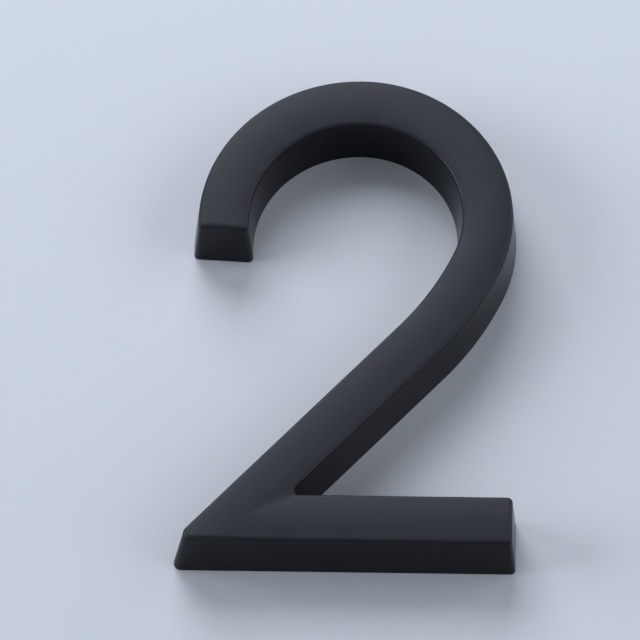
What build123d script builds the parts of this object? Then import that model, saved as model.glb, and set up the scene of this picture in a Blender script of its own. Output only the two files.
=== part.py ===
"""A house number: the figure 2 as one moulding with drafted walls, a crowned front and a flat back.

Millimetres, +Z up. The flat back lies on the wall plane Y = 0 and the front faces -Y, so the figure
reads correctly from the front. The origin is where the arch's centre line meets the figure's base line.
"""

import os
from math import asin, cos, degrees, radians, sin, tan

from build123d import *

# Driving dimensions of the outline where it meets the wall, its largest section
height = 50.0
stroke = 5.6
diagonal_stroke = 5.45
foot_height = 5.7
foot_reach = 15.0
hook_radius = 13.0
bowl_radius = 12.1
spine_radius = 31.5

# The hook is cut off on a slightly sloping line, this far below the centre of its own arc
hook_drop = 1.9
hook_tilt = 3.0

# Angle below level where the bowl turns into the spine, and how far the diagonal leans from upright
bowl_end = 24.0
diagonal_lean = 42.5

# Depth from the wall to the crest of the front, and the mould's draft
depth = 6.0
draft_angle = 4.0

# The front is crowned across the stroke. The foot's crest lies a hair below the diagonal's, so the two
# crowns meet in one definite valley, which is blended. The crowns run on past the outline by the overrun
crown_radius = 22.0
foot_sink = 0.02
valley_radius = 6.0
overrun = 1.0

# Rounding of the front edge and the crotch. The square ends of hook and foot and the foot's pointed tip
# are rounder than the front edge by these ratios, so that its rounding can run round them
edge_radius = 0.4
crotch_radius = 0.4
corner_ratio = 1.25
tip_ratio = 1.9


def radial(angle):
    """Unit vector at an angle in degrees from +X, counted anticlockwise."""
    return Vector(cos(radians(angle)), sin(radians(angle)))


def hook_end(radius):
    """Angle at which the sloping cut crosses a circle about the hook's centre, on its left side."""
    return 180 - hook_tilt + degrees(asin(hook_drop / radius))


def draw_side(side, foot_level, hook_overrun=0.0):
    """Draw hook, bowl, spine and diagonal along the stroke's outer (+1) or inner (-1) side or middle (0).

    The stroke thins along the spine, whose radius therefore differs from side to side. Returns where the
    hook ends and where the diagonal reaches the foot level.
    """
    hook = hook_radius + side * stroke / 2
    bowl = bowl_radius + side * stroke / 2
    spine_turn = cos(radians(diagonal_lean - bowl_end))
    radius_spread = (diagonal_stroke - stroke * spine_turn) / (1 - spine_turn)
    spine = spine_radius - (1 - side) / 2 * radius_spread

    hook_centre = Vector(0, height - stroke / 2 - hook_radius)
    hook_sweep = hook_end(hook) - 90 + degrees(hook_overrun / hook)
    hook_arc = CenterArc(hook_centre, hook, 90, hook_sweep)
    bowl_centre = Vector(0, height - stroke / 2 - bowl_radius)
    CenterArc(bowl_centre, bowl, 90, -90 - bowl_end)
    spine_centre = bowl_centre - radial(-bowl_end) * (spine - bowl)
    spine_arc = CenterArc(spine_centre, spine, -bowl_end, bowl_end - diagonal_lean)
    run = ((spine_arc @ 1).Y - foot_level) / cos(radians(diagonal_lean))
    diagonal = PolarLine(spine_arc @ 1, run, -90 - diagonal_lean)
    return hook_arc @ 1, diagonal @ 1


def figure_outline():
    """The outline, two sides of tangent arcs with a diagonal each, and its sharp corners with their radii."""
    with BuildSketch(Plane.XZ) as outline:
        with BuildLine():
            hook_outer, crotch = draw_side(1, foot_height)
            hook_inner, foot_tip = draw_side(-1, 0)
            foot_top = Vector(foot_reach, foot_height)
            foot_bottom = Vector(foot_reach, 0)
            Line(hook_outer, hook_inner)
            Polyline(crotch, foot_top, foot_bottom, foot_tip)
        make_face()

    square_ends = [hook_outer, hook_inner, foot_top, foot_bottom]
    corners = [(end, corner_ratio * edge_radius) for end in square_ends]
    corners += [(foot_tip, tip_ratio * edge_radius), (crotch, crotch_radius)]
    return outline.sketch, corners


def crowned_bars():
    """Two bars with arched fronts, wider than the strokes: one along the centre line, one along the foot.

    The foot's bar starts from the diagonal's centre line, so its crest doesn't run on across the diagonal.
    """
    with BuildLine() as middle:
        diagonal_low = draw_side(0, -foot_height, overrun)[1]
    path = Plane.XZ * Wire(middle.edges())
    across = Plane(path @ 0, x_dir=Vector(0, 1, 0).cross(path % 0), z_dir=path % 0)
    diagonal_high = diagonal_low + Vector(tan(radians(diagonal_lean)), 1) * (2 * foot_height + overrun)
    right = foot_reach + overrun

    with BuildPart() as bars:
        with BuildSketch(Plane.XZ):
            with BuildLine():
                bottom_right = Vector(right, diagonal_low.Y)
                top_right = Vector(right, diagonal_high.Y)
                Polyline(diagonal_low, bottom_right, top_right, diagonal_high, close=True)
            make_face()
        extrude(amount=depth, both=True)
        with Locations((0, crown_radius - depth + foot_sink, foot_height / 2)):
            Cylinder(crown_radius, 2 * height, rotation=(0, 90, 0), mode=Mode.INTERSECT)

        with BuildSketch(across):
            Rectangle(stroke + 2 * overrun, 2 * depth)
            with Locations((0, crown_radius - depth)):
                Circle(crown_radius, mode=Mode.INTERSECT)
        sweep(path=path)
    return bars.part


def front_faces(moulding):
    """The faces that look forward, towards -Y, within a tilt that every crown keeps to and no wall does."""
    widest_tilt = 25
    return moulding.faces().filter_by(lambda face: face.normal_at().Y < -cos(radians(widest_tilt)))


def numeral():
    """Raise the outline off the wall, lean its walls in, crown its front, and round its edges."""
    outline, corners = figure_outline()
    with BuildPart() as moulding:
        extrude(outline, amount=depth + overrun)
        walls = moulding.faces().filter_by(Axis.Y, reverse=True)
        draft(walls, Plane.XZ, draft_angle)
        for corner, radius in corners:
            on_wall = Plane.XZ.from_local_coords(corner)
            standing = moulding.edges().filter_by(lambda edge: edge.bounding_box().size.Y > depth / 2)
            fillet(standing.sort_by_distance(on_wall)[0], radius)

        add(crowned_bars(), mode=Mode.INTERSECT)
        diagonal_crown, foot_crown = front_faces(moulding).filter_by(GeomType.CYLINDER)
        fillet(diagonal_crown.edges() & foot_crown.edges(), valley_radius)
        front = front_faces(moulding)
        around = moulding.faces() - front
        fillet(front.edges() & around.edges(), edge_radius)
    return moulding.part


os.makedirs("parts", exist_ok=True)
figure = numeral()
figure.label = "numeral"
export_step(figure, "parts/numeral.step")
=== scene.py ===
from math import radians

import bpy
import numpy as np
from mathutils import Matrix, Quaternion, Vector


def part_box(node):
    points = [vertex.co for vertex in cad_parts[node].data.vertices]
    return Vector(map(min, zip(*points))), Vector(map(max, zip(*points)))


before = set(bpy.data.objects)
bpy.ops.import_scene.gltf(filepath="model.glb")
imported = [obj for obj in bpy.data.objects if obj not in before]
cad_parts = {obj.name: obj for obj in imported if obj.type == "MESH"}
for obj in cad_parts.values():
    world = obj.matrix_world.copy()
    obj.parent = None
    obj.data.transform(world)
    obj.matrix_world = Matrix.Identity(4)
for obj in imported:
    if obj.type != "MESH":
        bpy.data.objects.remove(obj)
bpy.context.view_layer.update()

# The numeral is a plain figure 2, injection moulded in one shot of charcoal ABS and left as it came
# out of the mould. The mould's front was spark eroded, so the face is satin with a fine even grain,
# and the walls slid along the steel and came out smoother. Its flat back is stuck to the wall.
MM = 0.001
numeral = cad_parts["numeral"]
numeral_low, numeral_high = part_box("numeral")


def linear(hex_colour):
    """An sRGB hex colour as linear red, green and blue with alpha 1, by the sRGB transfer curve."""
    channels = np.array([int(hex_colour[start:start + 2], 16) for start in (1, 3, 5)]) / 255
    toe = channels / 12.92
    curve = ((channels + 0.055) / 1.055) ** 2.4
    return [*np.where(channels <= 0.04045, toe, curve), 1.0]


def new_material(name):
    """An empty node material, with its tree and its output node."""
    material = bpy.data.materials.new(name)
    material.use_nodes = True
    material.node_tree.nodes.clear()
    output = material.node_tree.nodes.new("ShaderNodeOutputMaterial")
    return material, material.node_tree, output


def add_node(tree, kind, values=None, links=None, **settings):
    """Add one node: settings are its properties, values fill its sockets, links feed them from others."""
    node = tree.nodes.new("ShaderNode" + kind)
    for name, setting in settings.items():
        setattr(node, name, setting)
    for socket, value in (values or {}).items():
        node.inputs[socket].default_value = value
    for socket, (source, source_socket) in (links or {}).items():
        tree.links.new(source.outputs[source_socket], node.inputs[socket])
    return node


def charcoal_abs():
    """Moulded charcoal ABS: a satin face greyer than the sleek walls, partly for its fine sparked grain and
    partly as painted sheen, with the walls darkened partly by painted shade.
    """
    plastic_ior = 1.53
    gloss = 0.11
    # The walls' colour is darker partly for their sleek finish and partly as painted shade, and the face's
    # colour is lighter partly for its grain and partly as painted sheen
    wall_colour_with_shade = "#131418"
    face_colour_with_sheen, face_cloud_with_sheen = "#25272b", "#2a2c32"
    wall_roughness, face_roughness = 0.22, 0.32
    wall_grain, face_grain = 0.25, 1.0
    # The real grit of about 0.05 mm is drawn three times as coarse, so that it shows at this size
    grit = 0.15 * MM
    grit_depth = 0.004 * MM
    grit_octaves, grit_harshness = 2.0, 0.55
    # Faint clouds in the face's colour and in the sheen, as the plastic flowed and cooled
    cloud_size = 5.0 * MM
    cloud_sheen = 0.05
    cloud_octaves, cloud_harshness = 3.0, 0.6
    # The face falls this far from its crest to its edge, and its grain dies out over the edge's rounding
    crown_fall = 0.15 * MM
    edge_depth = 0.25 * MM
    # A Mix node's colour sockets go by number, because its other sockets have the same names
    first_colour, second_colour, mixed_colour = 6, 7, 2

    material, tree, output = new_material("charcoal_abs_sparked")
    place = add_node(tree, "TexCoord")
    axes = add_node(tree, "SeparateXYZ", links={0: (place, "Object")})
    face_edge = numeral_low.y + crown_fall
    face = add_node(
        tree, "MapRange", {"From Min": face_edge + edge_depth, "From Max": face_edge},
        {"Value": (axes, "Y")}, interpolation_type="SMOOTHSTEP")
    cloudiness = add_node(
        tree, "TexNoise", {"Scale": 1 / cloud_size, "Detail": cloud_octaves, "Roughness": cloud_harshness},
        {"Vector": (place, "Object")})
    clouded = add_node(
        tree, "Mix", {first_colour: linear(face_colour_with_sheen), second_colour: linear(face_cloud_with_sheen)},
        {0: (cloudiness, "Fac")}, data_type="RGBA")
    # Painted shade and sheen: the walls take the darker colour and the face the lighter one, across the face
    # mask
    colour = add_node(
        tree, "Mix", {first_colour: linear(wall_colour_with_shade)},
        {0: (face, "Result"), second_colour: (clouded, mixed_colour)}, data_type="RGBA")
    sheen = add_node(
        tree, "MapRange", {"To Min": wall_roughness, "To Max": face_roughness}, {"Value": (face, "Result")})
    roughness = add_node(
        tree, "Math", {1: cloud_sheen}, {0: (cloudiness, "Fac"), 2: (sheen, "Result")},
        operation="MULTIPLY_ADD")
    grain = add_node(
        tree, "TexNoise", {"Scale": 1 / grit, "Detail": grit_octaves, "Roughness": grit_harshness},
        {"Vector": (place, "Object")})
    relief = add_node(
        tree, "MapRange", {"To Min": wall_grain, "To Max": face_grain}, {"Value": (face, "Result")})
    pits = add_node(
        tree, "Bump", {"Distance": grit_depth},
        {"Strength": (relief, "Result"), "Height": (grain, "Fac")})
    skin = add_node(
        tree, "BsdfPrincipled", {"IOR": plastic_ior, "Specular IOR Level": gloss},
        {"Base Color": (colour, mixed_colour), "Roughness": (roughness, 0), "Normal": (pits, "Normal")})
    tree.links.new(skin.outputs["BSDF"], output.inputs["Surface"])
    return material


numeral.data.materials.clear()
numeral.data.materials.append(charcoal_abs())

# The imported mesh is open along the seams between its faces, with a few hair-thin triangles there that
# would shade as dark specks. The seams are closed, the edge of the back stays crisp, and the shading
# follows the larger faces
seam_width = 0.001 * MM
crisp_angle = radians(40)
closed_seams = numeral.modifiers.new("closed_seams", "WELD")
closed_seams.merge_threshold = seam_width
crisp_back = numeral.modifiers.new("crisp_back", "EDGE_SPLIT")
crisp_back.use_edge_sharp = False
crisp_back.split_angle = crisp_angle
numeral.modifiers.new("even_shading", "WEIGHTED_NORMAL")

# The wall behind the numeral is smooth pale blue-grey paint, swept round a wide cove into a floor far
# below. It is stage and not part of the object. From behind it can be seen through, and close against
# it the numeral's flat back sees the room through it, so the back can be looked at.
wall_gap = 0.02 * MM
wall_height = 3.0
wall_half_width = 3.0
floor_level = -1.3
floor_reach = -4.0
cove_radius = 0.6
cove_steps = 24


def swept_sheet(name, profile, half_width):
    """A profile of (y, z) points carried from -half_width to +half_width along X as a grid of quads."""
    rows = len(profile)
    sides = np.array([-half_width, half_width])
    points = np.zeros((rows, 2, 3))
    points[:, :, 0] = sides
    points[:, :, 1:] = profile[:, None, :]
    left = 2 * np.arange(rows - 1)[:, None]
    faces = left + np.array([0, 2, 3, 1])
    mesh = bpy.data.meshes.new(name)
    mesh.from_pydata(points.reshape(-1, 3).tolist(), [], faces.tolist())
    sheet = bpy.data.objects.new(name, mesh)
    bpy.context.scene.collection.objects.link(sheet)
    return sheet


# Down the wall, round the cove by a quarter turn, and forward along the floor
turn = np.linspace(0, np.pi / 2, cove_steps)
cove = np.stack([
    wall_gap - cove_radius * (1 - np.cos(turn)),
    floor_level + cove_radius * (1 - np.sin(turn)),
], axis=1)
wall_profile = np.vstack([[wall_gap, wall_height], cove, [floor_reach, floor_level]])
wall = swept_sheet("wall_and_floor", wall_profile, wall_half_width)


def wall_paint():
    """Matt emulsion: an even pale colour with no gloss, clear from behind and to what lies against it."""
    paint = "#d2d5d9"
    contact_reach = 0.06 * MM
    material, tree, output = new_material("pale_wall_paint")
    coat = add_node(tree, "BsdfDiffuse", {"Color": linear(paint)})
    clear = add_node(tree, "BsdfTransparent")
    side = add_node(tree, "NewGeometry")
    path = add_node(tree, "LightPath")
    contact = add_node(
        tree, "Math", {1: contact_reach}, {0: (path, "Ray Length")}, operation="LESS_THAN")
    seen_through = add_node(
        tree, "Math", links={0: (side, "Backfacing"), 1: (contact, 0)}, operation="MAXIMUM")
    both = add_node(
        tree, "MixShader", links={0: (seen_through, 0), 1: (coat, 0), 2: (clear, 0)})
    tree.links.new(both.outputs[0], output.inputs["Surface"])
    return material


wall.data.materials.append(wall_paint())

# The light is one soft box close by, high in front and a little to the left, and a large one far along
# the wall on either side, of which the right one is the nearer and softer. The pale room shows in the
# gloss and behind the wall.
numeral_middle = (numeral_low + numeral_high) / 2
lamp_colour = "#eef4ff"


def soft_box(name, toward, distance, size, watts):
    """A square lamp of that size, at a distance from the numeral along a direction, facing it."""
    lamp = bpy.data.lights.new(name, "AREA")
    lamp.shape = "SQUARE"
    lamp.size = size
    lamp.energy = watts
    lamp.color = linear(lamp_colour)[:3]
    holder = bpy.data.objects.new(name, lamp)
    outward = Vector(toward).normalized()
    holder.location = numeral_middle + outward * distance
    holder.rotation_euler = (-outward).to_track_quat("-Z", "Y").to_euler()
    holder.visible_camera = False
    bpy.context.scene.collection.objects.link(holder)


soft_box("key_light", toward=(-0.35, -1.0, 1.2), distance=0.5, size=0.35, watts=2.3)
soft_box("left_light", toward=(-1.0, -0.35, 0.05), distance=2.5, size=1.67, watts=47.0)
soft_box("right_light", toward=(1.0, -0.3, 0.05), distance=1.5, size=2.2, watts=24.0)

# The room is as pale as it is written where it is seen, and gives the numeral only a little fill
room_colour = "#e6eaf0"
fill_strength = 0.06
seen_strength = 1.0
world = bpy.data.worlds.new("pale_room")
world.use_nodes = True
room = world.node_tree
room.nodes.clear()
room_path = add_node(room, "LightPath")
room_ahead = add_node(
    room, "Math", links={0: (room_path, "Is Camera Ray"), 1: (room_path, "Is Glossy Ray")})
room_seen = add_node(
    room, "Math", links={0: (room_ahead, 0), 1: (room_path, "Is Transmission Ray")})
room_level = add_node(
    room, "MapRange", {"To Min": fill_strength, "To Max": seen_strength}, {"Value": (room_seen, 0)})
room_glow = add_node(
    room, "Background", {"Color": linear(room_colour)}, {"Strength": (room_level, "Result")})
add_node(room, "OutputWorld", links={"Surface": (room_glow, 0)})
bpy.context.scene.world = world
bpy.context.scene.view_settings.view_transform = "Standard"

# The camera looks up at the numeral from below, squarely from the front, through a long lens.
# The frame is as wide as the picture shows, and is turned by under a degree as the picture is.
camera_below = 27.5
camera_roll = 0.763
camera_distance = 1.25
frame_width = 60.6 * MM
aim = Vector((-3.73, -5.27, 24.03)) * MM
farthest_seen = 10.0

camera = bpy.data.objects.new("camera", bpy.data.cameras.new("camera"))
toward_camera = Vector((0, -np.cos(radians(camera_below)), -np.sin(radians(camera_below))))
camera.location = aim + toward_camera * camera_distance
camera.rotation_mode = "QUATERNION"
level_view = (-toward_camera).to_track_quat("-Z", "Y")
camera.rotation_quaternion = level_view @ Quaternion((0, 0, 1), radians(camera_roll))
camera.data.lens = camera.data.sensor_width * camera_distance / frame_width
camera.data.clip_end = farthest_seen
bpy.context.scene.collection.objects.link(camera)
bpy.context.scene.camera = camera
